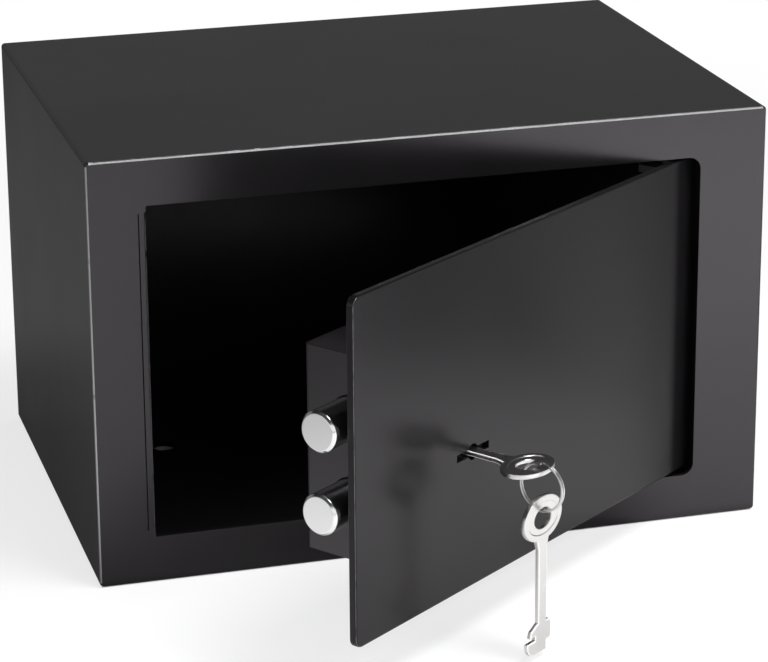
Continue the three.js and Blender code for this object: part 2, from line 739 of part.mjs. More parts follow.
function boltScrew(height) {
  const shank = BOLT_SCREW_SHANK / 2;
  const head = BOLT_SCREW_HEAD_DIAMETER / 2;
  const headStart = BAR_THICKNESS + 2 * SEAT;
  const length = headStart + BOLT_SCREW_DEPTH - 1;
  const profile = [
    [0, headStart - length],
    [shank, headStart - length],
    [shank, headStart],
    [head, headStart],
    [head, headStart + BOLT_SCREW_HEAD_HEIGHT * 0.5],
    [head * 0.7, headStart + BOLT_SCREW_HEAD_HEIGHT],
    [0, headStart + BOLT_SCREW_HEAD_HEIGHT],
  ];
  const points = profile.map(([r, y]) => new THREE.Vector2(r, y));
  const screw = new THREE.LatheGeometry(points, 20).rotateZ(-Math.PI / 2);
  return screw.translate(boltRight, behind(BOLT_AXIS_DEPTH), height);
}

// Key, drawn flat: bow centre at the origin, shank along +Y, thickness along Z.
// Steps of the large bit: start and end measured from the tip, and the radius at each.
function bitSteps() {
  return [
    [BIT_CORNER_RADIUS, BIT_TIP_LENGTH, BIT_RADIUS, BIT_RADIUS],
    [BIT_TIP_LENGTH, BIT_CUT_END, BIT_CUT_RADIUS, BIT_CUT_RADIUS],
    [BIT_CUT_END, BIT_SECOND_END, BIT_SECOND_RADIUS, BIT_SHOULDER_RADIUS],
    [BIT_SECOND_END, BIT_LENGTH, BIT_SHOULDER_RADIUS, SHANK_WIDTH / 2],
  ];
}

function keyBlade() {
  const half = SHANK_WIDTH / 2;
  const neck = NECK_WIDTH / 2;
  const root = bowHalf - BOW_RIM_WIDTH / 2;
  const neckEnd = bowHalf + NECK_LENGTH;
  const smallTop = tipDistance - SMALL_BIT_END;
  const smallEnd = tipDistance - SMALL_BIT_START;
  const round = SMALL_BIT_CORNER_RADIUS;
  const blade = new THREE.Shape();
  blade.moveTo(neck, root);
  blade.lineTo(half, neckEnd);
  blade.lineTo(half, smallTop);
  blade.absarc(SMALL_BIT_RADIUS - round, smallTop + round, round, -Math.PI / 2, 0);
  blade.absarc(SMALL_BIT_RADIUS - round, smallEnd - round, round, 0, Math.PI / 2);
  blade.lineTo(half, smallEnd);
  blade.lineTo(half, tipDistance);
  blade.absarc(
    BIT_CORNER_RADIUS - BIT_RADIUS, tipDistance - BIT_CORNER_RADIUS, BIT_CORNER_RADIUS, Math.PI / 2, Math.PI,
  );
  for (const [start, end, near, far] of bitSteps()) {
    blade.lineTo(-near, tipDistance - start);
    blade.lineTo(-far, tipDistance - end);
  }
  blade.lineTo(-half, neckEnd);
  blade.lineTo(-neck, root);
  return raised(blade, -KEY_THICKNESS / 2, KEY_THICKNESS / 2, 6);
}

function keyBow() {
  const bevel = BOW_EDGE_BEVEL;
  const web = BOW_WEB_THICKNESS / 2;
  const curve = 18;
  const plate = new THREE.ExtrudeGeometry(oval(BOW_WIDTH - 2 * bevel, BOW_HEIGHT - 2 * bevel), {
    depth: KEY_THICKNESS - 2 * bevel,
    bevelThickness: bevel,
    bevelSize: bevel,
    bevelSegments: 1,
    curveSegments: curve,
  });
  plate.translate(0, 0, bevel - KEY_THICKNESS / 2);
  const well = oval(BOW_WIDTH - 2 * BOW_RIM_WIDTH, BOW_HEIGHT - 2 * BOW_RIM_WIDTH);
  return cut(
    plate,
    raised(well, web, KEY_THICKNESS, curve),
    raised(well, -KEY_THICKNESS, -web, curve),
    raised(oval(BOW_HOLE_WIDTH, BOW_HOLE_HEIGHT), -KEY_THICKNESS, KEY_THICKNESS, curve),
  );
}

// Split ring: one flattened wire, wound nearly twice, that steps over once
function ringCentre(degrees) {
  const angle = radians(degrees);
  const share = THREE.MathUtils.smoothstep(degrees, RING_CROSSING_START, RING_CROSSING_END);
  return new THREE.Vector3(
    (share - 0.5) * RING_TURN_PITCH,
    RING_RADIUS * Math.sin(angle),
    RING_RADIUS * Math.cos(angle),
  );
}

function ringSection(degrees) {
  const centre = ringCentre(degrees);
  const outward = new THREE.Vector3(0, centre.y, centre.z).normalize();
  const section = [];
  for (let side = 0; side < RING_SIDES; side += 1) {
    const turn = (side + 0.5) * 2 * Math.PI / RING_SIDES;
    const radial = Math.cos(turn) * RING_WIRE_RADIAL / 2 / Math.cos(Math.PI / RING_SIDES);
    const axial = Math.sin(turn) * RING_WIRE_AXIAL / 2;
    const point = centre.clone().addScaledVector(outward, radial);
    point.x += axial;
    section.push(point);
  }
  return section;
}

function splitRing() {
  const steps = Math.round(RING_TURNS_DEGREES / 360 * RING_STEPS);
  const positions = [];
  for (let step = 0; step <= steps; step += 1) {
    for (const point of ringSection(step * RING_TURNS_DEGREES / steps)) {
      positions.push(point.x, point.y, point.z);
    }
  }
  const index = [];
  for (let step = 0; step < steps; step += 1) {
    for (let side = 0; side < RING_SIDES; side += 1) {
      const a = step * RING_SIDES + side;
      const b = step * RING_SIDES + (side + 1) % RING_SIDES;
      index.push(a, b, a + RING_SIDES, b, b + RING_SIDES, a + RING_SIDES);
    }
  }
  const last = steps * RING_SIDES;
  for (let side = 1; side < RING_SIDES - 1; side += 1) {
    index.push(0, side + 1, side, last, last + side, last + side + 1);
  }
  const geometry = new THREE.BufferGeometry();
  geometry.setAttribute('position', new THREE.Float32BufferAttribute(positions, 3));
  geometry.setIndex(index);
  return geometry;
}

// Least gap between the ring's two turns, measured between points of facing sections
function ringSelfGap() {
  let least = Infinity;
  for (let degrees = 0; degrees + 360 <= RING_TURNS_DEGREES; degrees += 360 / RING_STEPS) {
    for (const first of ringSection(degrees)) {
      for (const second of ringSection(degrees + 360)) {
        least = Math.min(least, first.distanceTo(second));
      }
    }
  }
  return least;
}

console.log(`split ring: least gap between turns ${ringSelfGap().toFixed(2)} mm`);

// Assembly
const safe = new THREE.Group();

function add(group, name, geometry, material) {
  geometry.computeVertexNormals();
  const mesh = new THREE.Mesh(geometry, material);
  mesh.name = name;
  group.add(mesh);
  return mesh;
}

const sides = [['upper', 1], ['lower', -1]];

add(safe, 'body_shell', bodyShell(), blackPaint);
add(safe, 'front_frame', frontFrame(), blackPaint);
add(safe, 'back_panel', backPanel(), blackPaint);
for (const [name, side] of sides) {
  add(safe, `hinge_bracket_${name}`, hingeBracket(side), blackPaint);
}

const door = new THREE.Group();
door.position.set(pivotX, pivotY, 0);
door.rotation.z = radians(DOOR_REST_ANGLE);
safe.add(door);

add(door, 'door_plate', doorPlate(), blackDoorPaint);
for (const [name, side] of sides) {
  add(door, `hinge_lug_${name}`, hingeLug(side), blackDoorPaint);
  add(door, `hinge_pin_${name}`, hingePin(side), zincSteel);
}
add(door, 'lock_cover', lockCover(), blackLining);
standoffPlaces().forEach(([x, z], i) => {
  add(door, `cover_standoff_${i + 1}`, standoff(x, z), zincSteel);
  add(door, `cover_screw_${i + 1}`, coverScrew(x, z), zincSteel);
});
add(door, 'lock_case', caseBase(), zincSteel);
add(door, 'lock_case_cap', caseCap(), zincSteel);
add(door, 'lever_post', leverPost(), zincSteel);
add(door, 'bolt_guide_post', boltGuidePost(), zincSteel);

for (let i = 0; i < LEVER_COUNT; i += 1) {
  add(door, `lever_${i + 1}`, lever(i), lockBrass);
  add(door, `lever_spring_${i + 1}`, leverSpring(i), springSteel);
}

add(door, 'bolt_plate', boltPlate(), zincSteel);
add(door, 'bolt_bar', boltBar(), zincSteel);
boltHeights.forEach((height, i) => {
  const name = sides[i][0];
  add(door, `round_bolt_${name}`, roundBolt(height), brightNickel);
  add(door, `bolt_screw_${name}`, boltScrew(height), zincSteel);
});

const keyGroup = new THREE.Group();
keyGroup.position.set(keyX, behind(bowDepth), keyHeight);
door.add(keyGroup);
add(keyGroup, 'key', join(keyBow(), keyBlade()), brightNickel);

const ringGroup = new THREE.Group();
const rimMiddle = (BOW_HEIGHT + BOW_HOLE_HEIGHT) / 4;
ringGroup.position.set(0, -rimMiddle, KEY_THICKNESS / 2 - RING_DROP);
keyGroup.add(ringGroup);
add(ringGroup, 'split_ring', splitRing(), brightNickel);

const spare = add(ringGroup, 'spare_key', join(keyBow(), keyBlade()), brightNickel);
spare.position.set(0, 0, -RING_RADIUS - SPARE_DROP);
spare.rotation.x = -Math.PI / 2;

export default safe;
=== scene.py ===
"""Small black furniture safe with its door ajar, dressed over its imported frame."""

import json
import math

import bmesh
import bpy
from mathutils import Matrix, Vector


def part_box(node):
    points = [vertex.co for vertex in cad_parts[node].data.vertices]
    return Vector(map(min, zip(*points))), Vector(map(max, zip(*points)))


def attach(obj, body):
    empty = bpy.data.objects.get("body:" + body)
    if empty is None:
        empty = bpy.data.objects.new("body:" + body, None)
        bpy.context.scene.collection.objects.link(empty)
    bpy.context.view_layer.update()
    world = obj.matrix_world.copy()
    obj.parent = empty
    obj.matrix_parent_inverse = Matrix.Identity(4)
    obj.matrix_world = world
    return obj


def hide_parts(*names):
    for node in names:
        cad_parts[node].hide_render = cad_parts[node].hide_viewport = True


MM = 0.001

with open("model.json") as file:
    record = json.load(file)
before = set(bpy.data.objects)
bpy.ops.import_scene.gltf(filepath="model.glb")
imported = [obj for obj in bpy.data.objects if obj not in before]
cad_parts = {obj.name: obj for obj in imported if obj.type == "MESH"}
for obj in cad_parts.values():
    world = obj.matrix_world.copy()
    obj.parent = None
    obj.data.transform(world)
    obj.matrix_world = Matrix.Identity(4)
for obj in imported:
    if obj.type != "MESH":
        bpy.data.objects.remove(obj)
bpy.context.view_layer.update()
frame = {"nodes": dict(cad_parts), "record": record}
nodes = frame["nodes"]
behaviour = frame["record"]["behaviour"]
joints = {joint["name"]: joint for joint in behaviour["joints"]}
body_of = {node: body for body, members in behaviour["bodies"].items() for node in members}


def box_of(node, axes=Matrix.Identity(4)):
    """(lowest, highest) corner of a CAD node along some axes, to a hundredth of a millimetre."""
    to_own = axes.inverted()
    points = [to_own @ vert.co / MM for vert in nodes[node].data.vertices]
    return [[round(limit(point[i] for point in points), 2) for i in range(3)] for limit in (min, max)]


def door_matrix():
    """The door's own axes as it stands ajar: X along it to the hinge, Y through it to its back."""
    hinge = joints["door_hinge"]
    x, y, _ = hinge["pos_m"]
    closed, _ = hinge["range_deg"]
    return Matrix.Translation((x, y, 0)) @ Matrix.Rotation(math.radians(-closed), 4, "Z")


# Camera: fitted to the photograph's corners, in metres, degrees and pixels
CAMERA_PLACE = (-0.33378, -1.20094, 0.49967)
CAMERA_YAW = 15.822
CAMERA_PITCH = -17.882
CAMERA_ROLL = -0.401
FOCAL_PIXELS = 3042
PRINCIPAL_ROW = 250
IMAGE_WIDTH = 768
IMAGE_HEIGHT = 662
SENSOR = 36
CLIP_START = 0.01

# Body, in millimetres and degrees: its outer sizes from the frame, the others as its solids have them
shell_low, shell_high = box_of("body_shell")
BODY_WIDTH = shell_high[0] - shell_low[0]
BODY_HEIGHT = shell_high[2] - shell_low[2]
FRONT = box_of("front_frame")[0][1]
BODY_DEPTH = shell_high[1] - FRONT
OPENING_LEFT = -116.8
OPENING_TOP = 157
OPENING_BOTTOM = 19
OPENING_CORNER = 2
BEND_RADIUS = 3
BEND_STEP = 7.5
BACK_FIT = 0.3

# Crisper forms that the photographed sheet shows, and what marks the points that they move
CRISP_FOLD = 1.6
CRISP_CATCH = 0.8
CRISP_CORNER = 0.7
FOLD_OUTSIDE_FROM = 1.55
BACK_EDGE_BAND = 8

# The fine line beside the catch strip, which stops short of the opening's two ends
SEAM_END_INSET = 3
SEAM_HALF = 0.3
SEAM_DEPTH = 1.6
SEAM_RUN_OUT = 0.4

# Arrises: the width of their rounding, in steps, on edges that turn by more than some degrees
FRONT_ARRIS = 0.18
SHEET_ARRIS = 0.25
SMALL_ARRIS = 0.15
ARRIS_STEPS = 3
ARRIS_FROM_DEGREES = 28
LEVEL_DEGREES = 1

# Painted highlights on arrises: how far their faces look forward and outward, their band at the edge and
# free corner
HIGHLIGHT_FORWARD = (0.25, 0.97)
HIGHLIGHT_OUTWARD = 0.2
HIGHLIGHT_BAND = 1
HIGHLIGHT_CORNER_STOP = 4
HIGHLIGHT_DOOR_BAND = 2.5

# How closely points and faces of a solid lie to what they count as on
POINTS_JOIN = 0.002
ON_LINE = 0.01
ON_ARC = 0.02
ON_PLANE = 0.001
ON_CUT = 0.0001
SQUARE_FACING = 0.9999
FRONT_FACING = 0.999

# Edges sharper than this many degrees stay sharp in the shading
SMALL_SHARP = 32
SHEET_SHARP = 40
TURNED_SHARP = 30

# Round bolts: their ends and the bore that the screw sits in
BOLT_CHAMFER = 1
BOLT_ARRIS = 0.25
BOLT_BORE = 3.3
BOLT_BORE_DEPTH = 12
BOLT_END_DISC = 0.4

# Key, drawn flat: the sizes that its solid has, and its arrises
KEY_THICKNESS = 2
KEY_ARRIS = 0.4
BLADE_THICKNESS = 0.98 * KEY_THICKNESS
BOW_HALF_WIDTH = 12.3
BOW_HALF_HEIGHT = 9
BOW_HOLE_HALF_WIDTH = 5.5
BOW_HOLE_HALF_HEIGHT = 4
BOW_RIM_WIDTH = 2.6
BOW_RIM_SLOPE = 0.2
BOW_WEB_THICKNESS = 1.5
BOW_ARRIS = 0.45
BOW_ARRIS_MIDDLE = 0.13
BOW_HOLE_ARRIS = 0.25
NECK_HALF_WIDTH = 4
NECK_LENGTH = 3.5
SHANK_HALF_WIDTH = 2.6
TIP_DISTANCE = 54.4
BIT_LENGTH = 12.2
BIT_RADIUS = 9.6
BIT_CORNER_RADIUS = 4.5
BIT_CORNER_STEPS = 10
BIT_TIP_LENGTH = 5.7
BIT_CUT_END = 7.6
BIT_CUT_RADIUS = 4.6
BIT_SECOND_END = 10
BIT_SECOND_RADIUS = 7.8
BIT_SHOULDER_RADIUS = 7
SMALL_BIT_RADIUS = 5.6
SMALL_BIT_START = 4
SMALL_BIT_END = 12
SMALL_BIT_CORNER_RADIUS = 1.5

# Split ring: its wire winds nearly twice and steps over once
RING_RADIUS = 9.4
RING_WIRE_RADIAL = 1
RING_WIRE_AXIAL = 0.7
RING_WIRE_SQUARENESS = 0.7
RING_WIRE_SIDES = 16
RING_PITCH = 1.15
RING_DROP = 7.6
RING_TURN = 690
RING_STEPS = 180
RING_STEP_OVER = (330, 360)
SPARE_DROP = 2.9

ROUND_STEPS = 96


# Shader nodes

def new_material(name):
    material = bpy.data.materials.new(name)
    material.use_nodes = True
    tree = material.node_tree
    tree.nodes.clear()
    output = tree.nodes.new("ShaderNodeOutputMaterial")
    shader = tree.nodes.new("ShaderNodeBsdfPrincipled")
    tree.links.new(shader.outputs["BSDF"], output.inputs["Surface"])
    return material, tree, shader


def noise(tree, scale, detail, roughness=0.6, stretch=(1, 1, 1)):
    place = tree.nodes.new("ShaderNodeTexCoord")
    mapping = tree.nodes.new("ShaderNodeMapping")
    mapping.inputs["Scale"].default_value = stretch
    texture = tree.nodes.new("ShaderNodeTexNoise")
    texture.inputs["Scale"].default_value = scale
    texture.inputs["Detail"].default_value = detail
    texture.inputs["Roughness"].default_value = roughness
    tree.links.new(place.outputs["Object"], mapping.inputs["Vector"])
    tree.links.new(mapping.outputs["Vector"], texture.inputs["Vector"])
    return texture.outputs["Fac"]


def spread(tree, value, span, low, high, soft=False):
    """Carries a span of the value over to the range from low to high."""
    node = tree.nodes.new("ShaderNodeMapRange")
    if soft:
        node.interpolation_type = "SMOOTHSTEP"
    start, end = span
    for name, number in (("From Min", start), ("From Max", end), ("To Min", low), ("To Max", high)):
        node.inputs[name].default_value = number
    tree.links.new(value, node.inputs["Value"])
    return node.outputs["Result"]


def soft_step(tree, value, span, low, high):
    return spread(tree, value, span, low, high, soft=True)


def colour_mix(tree, factor, low, high):
    node = tree.nodes.new("ShaderNodeMix")
    node.data_type = "RGBA"
    node.inputs["A"].default_value = (*low, 1)
    node.inputs["B"].default_value = (*high, 1)
    tree.links.new(factor, node.inputs["Factor"])
    return node.outputs["Result"]


def math_node(tree, operation, a, b):
    node = tree.nodes.new("ShaderNodeMath")
    node.operation = operation
    for socket, value in zip(node.inputs, (a, b)):
        if isinstance(value, (int, float)):
            socket.default_value = value
        else:
            tree.links.new(value, socket)
    return node.outputs["Value"]


def bump(tree, shader, factor, strength, distance):
    node = tree.nodes.new("ShaderNodeBump")
    node.inputs["Strength"].default_value = strength
    node.inputs["Distance"].default_value = distance
    tree.links.new(factor, node.inputs["Height"])
    tree.links.new(node.outputs["Normal"], shader.inputs["Normal"])


# Finishes: noise scales are in cycles a metre, relief depths in metres

NOISE_SPAN = (0.35, 0.65)
COAT_LOW = (0.0052, 0.0047, 0.0052)
COAT_HIGH = (0.0072, 0.0066, 0.0072)
COAT_TINT = (1, 0.94, 1, 1)
COAT_INDEX = 1.6
DOOR_COAT_INDEX = 1.36
CLOUD_SCALE = 18
PEEL_SCALE = 700
PEEL_RELIEF = 0.12
PEEL_DEPTH = 0.00008
GRAIN_SCALE = 600
GRAIN_STRETCH = (1, 1, 0.03)
GRAIN_SHARE = 0.6
HIGHLIGHT_PATCH_SCALE = 140
HIGHLIGHT_PATCH_BREAKUP = 0.7
HIGHLIGHT_ROUGHNESS = 0.32
STREAK_SCALE = 220
STREAK_RELIEF = 0.1
STREAK_DEPTH = 0.00002
KEY_HIGHLIGHT_METALLIC = 0.15
KEY_HIGHLIGHT_ROUGHNESS = 0.5


def powder_coat(name, roughness, index=COAT_INDEX):
    """Satin black coat: a faint cloud in colour and gloss, orange peel, and the sheet's upright grain."""
    material, tree, shader = new_material(name)
    cloud = noise(tree, CLOUD_SCALE, 3)
    orange_peel = noise(tree, PEEL_SCALE, 2)
    sheet_grain = noise(tree, GRAIN_SCALE, 3, stretch=GRAIN_STRETCH)
    grain = math_node(tree, "ADD", orange_peel, math_node(tree, "MULTIPLY", sheet_grain, GRAIN_SHARE))
    tree.links.new(colour_mix(tree, cloud, COAT_LOW, COAT_HIGH), shader.inputs["Base Color"])
    tree.links.new(spread(tree, cloud, NOISE_SPAN, *roughness), shader.inputs["Roughness"])
    shader.inputs["IOR"].default_value = index
    shader.inputs["Specular Tint"].default_value = COAT_TINT
    bump(tree, shader, grain, PEEL_RELIEF, PEEL_DEPTH)
    return material


def painted_edge_highlight(name, highlight_colour, patch_span):
    """Painted highlight along a sharp edge: a light, partly metallic colour in patches over the coat,
    standing in for the light that the arris catches.
    """
    material, tree, shader = new_material(name)
    highlight_patches = spread(tree, noise(tree, HIGHLIGHT_PATCH_SCALE, 5, HIGHLIGHT_PATCH_BREAKUP), patch_span, 0, 1)
    tree.links.new(colour_mix(tree, highlight_patches, COAT_HIGH, highlight_colour), shader.inputs["Base Color"])
    tree.links.new(highlight_patches, shader.inputs["Metallic"])
    shader.inputs["Roughness"].default_value = HIGHLIGHT_ROUGHNESS
    shader.inputs["IOR"].default_value = COAT_INDEX
    return material


def metal(name, low, high, roughness, scale=STREAK_SCALE, stretch=(1, 1, 1), relief=STREAK_RELIEF):
    """Bare or plated metal, whose streaks run from the low to the high colour."""
    material, tree, shader = new_material(name)
    shader.inputs["Metallic"].default_value = 1
    streak = noise(tree, scale, 5, stretch=stretch)
    tree.links.new(colour_mix(tree, streak, low, high), shader.inputs["Base Color"])
    tree.links.new(spread(tree, streak, NOISE_SPAN, *roughness), shader.inputs["Roughness"])
    if relief:
        bump(tree, shader, streak, relief, STREAK_DEPTH)
    return material


def painted_key_highlight(name, colour):
    """Painted highlight on a key's blanked edge: a near-white, rough colour that stays bright where the
    flat faces mirror the dark door.
    """
    material, _, shader = new_material(name)
    shader.inputs["Base Color"].default_value = (*colour, 1)
    shader.inputs["Metallic"].default_value = KEY_HIGHLIGHT_METALLIC
    shader.inputs["Roughness"].default_value = KEY_HIGHLIGHT_ROUGHNESS
    return material


body_paint = powder_coat("body_paint", (0.225, 0.255))
door_paint = powder_coat("door_paint", (0.215, 0.245), DOOR_COAT_INDEX)
hinge_paint = powder_coat("hinge_paint", (0.5, 0.6))
cover_paint = powder_coat("cover_paint", (0.155, 0.185))
# Painted highlight lines on the front's arrises: bright along the top, dimmer down the left, faint on the
# thin edges
top_arris_painted_highlight = painted_edge_highlight("top_arris_painted_highlight", (0.95, 0.95, 0.96), (0.2, 0.42))
left_arris_painted_highlight = painted_edge_highlight("left_arris_painted_highlight", (0.46, 0.46, 0.47), (0.2, 0.42))
thin_arris_painted_highlight = painted_edge_highlight("thin_arris_painted_highlight", (0.2, 0.2, 0.21), (0.35, 0.6))
nickel = metal(
    "bright_nickel", (0.68, 0.67, 0.665), (0.73, 0.72, 0.715), (0.27, 0.33), scale=90, relief=0,
)
# Painted highlight for the keys' rounded arrises
key_edge_highlight = painted_key_highlight("key_edge_highlight", (0.92, 0.91, 0.9))
turned_steel = metal("turned_steel", (0.93, 0.93, 0.93), (0.99, 0.99, 0.99), (0.12, 0.2))
dull_steel = metal("dull_steel", (0.07, 0.07, 0.07), (0.12, 0.12, 0.12), (0.4, 0.5))
zinc = metal("zinc_plate", (0.38, 0.39, 0.4), (0.5, 0.51, 0.52), (0.3, 0.45), scale=60)
brass = metal(
    "lock_brass", (0.42, 0.27, 0.08), (0.52, 0.34, 0.11), (0.25, 0.4), scale=80, stretch=(1, 1, 12),
)
spring_steel = metal("spring_steel", (0.13, 0.14, 0.16), (0.2, 0.21, 0.23), (0.25, 0.35))

# Finish by the start of the node's name; what isn't named is zinc plated
NODE_MATERIALS = {
    "body_shell": body_paint, "front_frame": body_paint, "back_panel": door_paint,
    "door_plate": door_paint, "lock_cover": cover_paint,
    "hinge_bracket": hinge_paint, "hinge_lug": hinge_paint, "hinge_pin": dull_steel,
    "round_bolt": turned_steel, "key": nickel, "spare_key": nickel, "split_ring": nickel,
    "lever_spring": spring_steel, "lever_post": zinc, "lever": brass,
}

SMALL_PIECES = (
    "hinge_", "cover_", "lock_case", "lever", "bolt_guide_post", "bolt_plate", "bolt_bar", "bolt_screw",
)

# Material slots of the coated sheets: the coat, then the painted highlight lines on thin, top and left
# arrises
COAT_SLOT = 0
THIN_HIGHLIGHT_SLOT = 1
TOP_HIGHLIGHT_SLOT = 2
LEFT_HIGHLIGHT_SLOT = 3


def material_of(node):
    for prefix, material in NODE_MATERIALS.items():
        if node.startswith(prefix):
            return material
    return zinc


for name, obj in nodes.items():
    obj.data.materials.clear()
    obj.data.materials.append(material_of(name))


# Meshes

def flatten_planes(mesh, axes):
    """Faces square to the piece's own axes are shaded flat, so that no rounded neighbour tilts them."""
    to_own = axes.to_3x3().inverted()
    for face in mesh.polygons:
        if max(abs(part) for part in to_own @ face.normal) > SQUARE_FACING:
            face.use_smooth = False


def mesh_object(name, bm, materials, node, matrix=None, sharp_from=SMALL_SHARP, square_to=None):
    """A finished piece that stands for a CAD node and rides on its body."""
    mesh = bpy.data.meshes.new(name)
    bmesh.ops.recalc_face_normals(bm, faces=bm.faces)
    bm.to_mesh(mesh)
    bm.free()
    obj = bpy.data.objects.new(name, mesh)
    bpy.context.scene.collection.objects.link(obj)
    if matrix is not None:
        mesh.transform(matrix)
    mesh.shade_smooth()
    mesh.set_sharp_from_angle(angle=math.radians(sharp_from))
    if square_to is not None:
        flatten_planes(mesh, square_to)
    for material in materials:
        mesh.materials.append(material)
    weighted = obj.modifiers.new("weighted_normals", "WEIGHTED_NORMAL")
    weighted.keep_sharp = True
    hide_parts(node)
    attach(obj, body_of[node])


def finer_edges(node, width, highlight_edges=False, changes=()):
    """A copy of a CAD solid with some changes and rounded arrises, which on the front and door go to the
    slot of a painted highlight line.
    """
    bm = bmesh.new()
    bm.from_mesh(nodes[node].data)
    bmesh.ops.remove_doubles(bm, verts=bm.verts, dist=POINTS_JOIN * MM)
    for change in changes:
        change(bm)
    bmesh.ops.dissolve_limit(bm, angle_limit=math.radians(LEVEL_DEGREES), verts=bm.verts, edges=bm.edges)
    limit = math.radians(ARRIS_FROM_DEGREES)
    edges = [e for e in bm.edges if len(e.link_faces) == 2 and e.calc_face_angle(0) > limit]
    # On the front and door the new rounding faces take the slot of a painted highlight line
    bmesh.ops.bevel(
        bm, geom=edges, offset=width * MM, segments=ARRIS_STEPS, profile=0.5, affect="EDGES",
        clamp_overlap=True, material=THIN_HIGHLIGHT_SLOT if highlight_edges else COAT_SLOT,
    )
    return bm


def join_rings(bm, rings):
    for first, second in zip(rings, rings[1:]):
        count = len(first)
        for step in range(count):
            after = (step + 1) % count
            bm.faces.new((first[step], first[after], second[after], second[step]))


def close_ends(bm, rings):
    bm.faces.new(rings[0])
    bm.faces.new(rings[-1])


# Sheet pieces

def tighter_folds(bm):
    """Draws the body's four folds to the crisper radius that the folded sheet shows."""
    half = BODY_WIDTH / 2
    for vert in bm.verts:
        x, z = vert.co.x / MM, vert.co.z / MM
        side = math.copysign(1, x)
        level = 1 if z > BODY_HEIGHT / 2 else -1
        edge = BODY_HEIGHT if level > 0 else 0
        arm = Vector((x - side * (half - BEND_RADIUS), z - (edge - level * BEND_RADIUS)))
        in_corner = arm.x * side > -ON_LINE and arm.y * level > -ON_LINE
        if in_corner and arm.length > FOLD_OUTSIDE_FROM:
            arm = arm.normalized() * (arm.length - BEND_RADIUS + CRISP_FOLD)
            vert.co.x = (side * (half - CRISP_FOLD) + arm.x) * MM
            vert.co.z = (edge - level * CRISP_FOLD + arm.y) * MM


def tighter_catch(bm):
    """The rolled edge of the catch flange: a crisp corner on a flat strip."""
    centre = Vector((OPENING_LEFT - BEND_RADIUS, FRONT + BEND_RADIUS))
    first, last = BEND_STEP, 90 - BEND_STEP
    for vert in bm.verts:
        arm = Vector((vert.co.x / MM, vert.co.y / MM)) - centre
        turn = math.degrees(math.atan2(arm.x, -arm.y))
        if abs(arm.length - BEND_RADIUS) < ON_ARC and first / 2 < turn < 90 - first / 2:
            turn = math.radians((turn - first) * 90 / (last - first))
            vert.co.x = (OPENING_LEFT - CRISP_CATCH + CRISP_CATCH * math.sin(turn)) * MM
            vert.co.y = (FRONT + CRISP_CATCH - CRISP_CATCH * math.cos(turn)) * MM


def tighter_corners(bm):
    """The opening's two corners beside the catch strip are nearly square."""
    for level, edge in ((1, OPENING_TOP), (-1, OPENING_BOTTOM)):
        centre = Vector((OPENING_LEFT + OPENING_CORNER, edge - level * OPENING_CORNER))
        for vert in bm.verts:
            arm = Vector((vert.co.x / MM, vert.co.z / MM)) - centre
            on_arc = abs(arm.length - OPENING_CORNER) < ON_ARC
            if on_arc and arm.x < ON_LINE and arm.y * level > -ON_LINE:
                arm *= CRISP_CORNER / OPENING_CORNER
                vert.co.x = (OPENING_LEFT + CRISP_CORNER + arm.x) * MM
                vert.co.z = (edge - level * CRISP_CORNER + arm.y) * MM


def welded_in(bm):
    """The back panel's edge reaches the shell, where it is welded all round."""
    half = BODY_WIDTH / 2
    middle = BODY_HEIGHT / 2
    for vert in bm.verts:
        x, z = vert.co.x / MM, vert.co.z / MM
        if abs(x) > half - BACK_EDGE_BAND:
            vert.co.x += math.copysign(BACK_FIT * MM, x)
        if abs(z - middle) > middle - BACK_EDGE_BAND:
            vert.co.z += math.copysign(BACK_FIT * MM, z - middle)


def frame_highlights(bm):
    """Painted highlights on the front's top and left arrises, and a faint one on the catch edge; they stop
    at the corner seams.
    """
    low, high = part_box("front_frame")
    reach = HIGHLIGHT_BAND * MM
    stop = HIGHLIGHT_CORNER_STOP * MM
    least, most = HIGHLIGHT_FORWARD
    for face in bm.faces:
        normal = face.normal
        place = face.calc_center_median()
        if not least < -normal.y < most:
            continue
        at_catch = OPENING_LEFT - CRISP_CATCH < place.x / MM < OPENING_LEFT
        at_top = normal.z > HIGHLIGHT_OUTWARD and place.z > high.z - reach
        at_left = normal.x < -HIGHLIGHT_OUTWARD and place.x < low.x + reach
        if at_catch and place.y < (FRONT + HIGHLIGHT_BAND) * MM:
            face.material_index = THIN_HIGHLIGHT_SLOT
        elif at_top and low.x + stop < place.x < high.x - stop:
            face.material_index = TOP_HIGHLIGHT_SLOT
        elif at_left and low.z + stop < place.z < high.z - 2 * stop:
            face.material_index = LEFT_HIGHLIGHT_SLOT


def door_edge_highlight(bm):
    """Only the door's free edge keeps its painted highlight line."""
    free_edge = box_of("door_plate", door_matrix())[0][0]
    to_door = door_matrix().inverted()
    for face in bm.faces:
        place = to_door @ face.calc_center_median()
        if place.x > (free_edge + HIGHLIGHT_DOOR_BAND) * MM:
            face.material_index = COAT_SLOT


def front_faces(bm):
    facing = [face for face in bm.faces if face.normal.y < -FRONT_FACING]
    return [face for face in facing if abs(face.calc_center_median().y - FRONT * MM) < ON_PLANE * MM]


